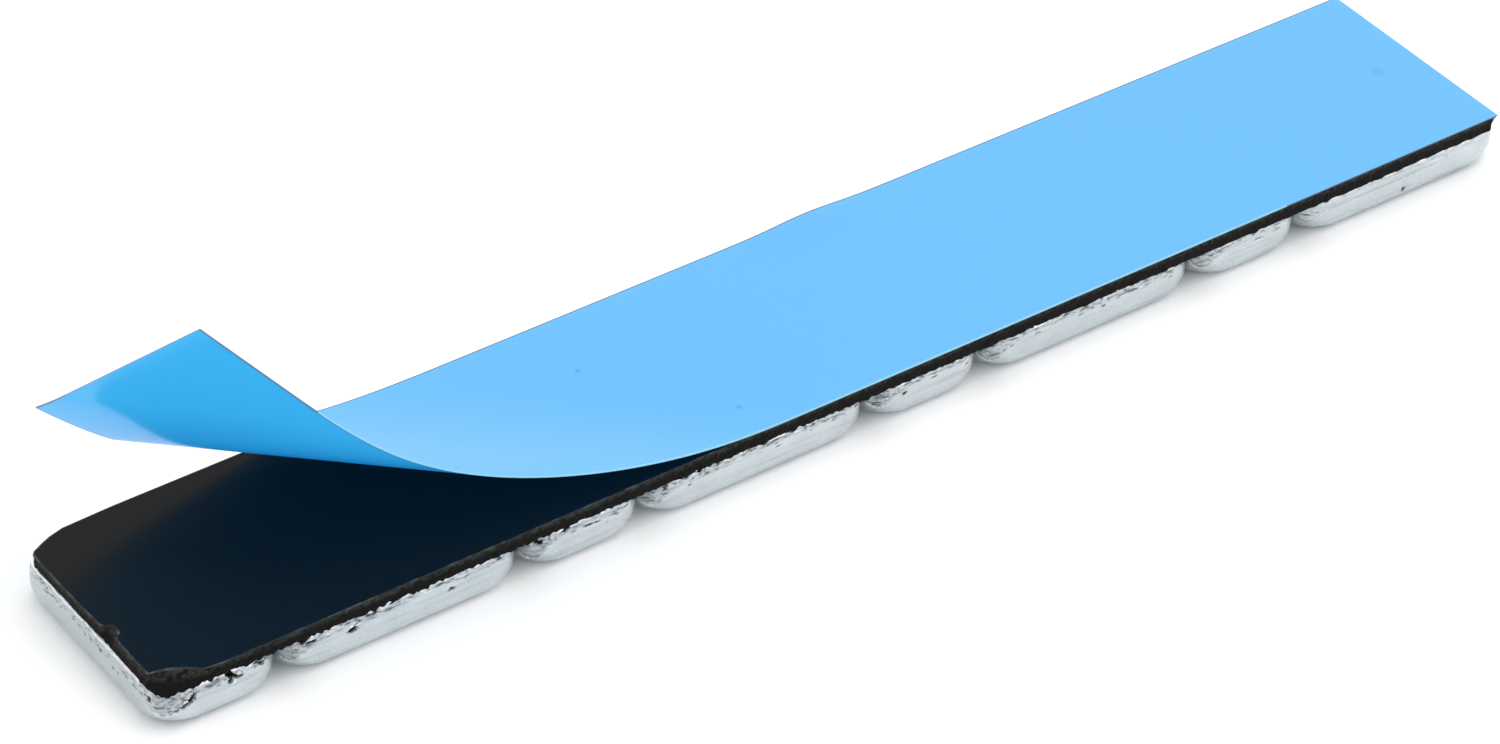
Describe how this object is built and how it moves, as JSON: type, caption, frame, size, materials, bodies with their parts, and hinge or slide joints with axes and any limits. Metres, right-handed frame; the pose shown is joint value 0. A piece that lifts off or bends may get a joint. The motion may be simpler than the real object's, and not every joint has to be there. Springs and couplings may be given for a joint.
{
  "type": "wheel balance weight",
  "caption": "Self-adhesive strip of pressed steel wheel balance weights, tape side up, with its blue release liner peeled back and curled at one end.",
  "frame": {"origin": "centre of the tape's adhesive face, which goes on the rim", "axes": "+X along the strip from the peeled end to the far end, +Y from the front edge to the back edge, +Z out of the adhesive face. It rests on the steel's outer faces, 4.35 mm below the origin"},
  "size_m": [0.1191, 0.022, 0.0258],
  "materials": {
    "zinc_plated_steel": "bright zinc plating over pressed steel, pitted and burred at the sheared edge",
    "black_foam_tape": "matt black foam with a glossy adhesive face",
    "blue_release_film": "thin light blue plastic film, smooth"
  },
  "bodies": {
    "root": {"weight_5g_1": "zinc_plated_steel", "weight_10g_1": "zinc_plated_steel", "weight_5g_2": "zinc_plated_steel", "weight_10g_2": "zinc_plated_steel", "weight_5g_3": "zinc_plated_steel", "weight_10g_3": "zinc_plated_steel", "weight_5g_4": "zinc_plated_steel", "weight_10g_4": "zinc_plated_steel", "foam_tape": "black_foam_tape", "release_liner": "blue_release_film"}
  },
  "joints": []
}
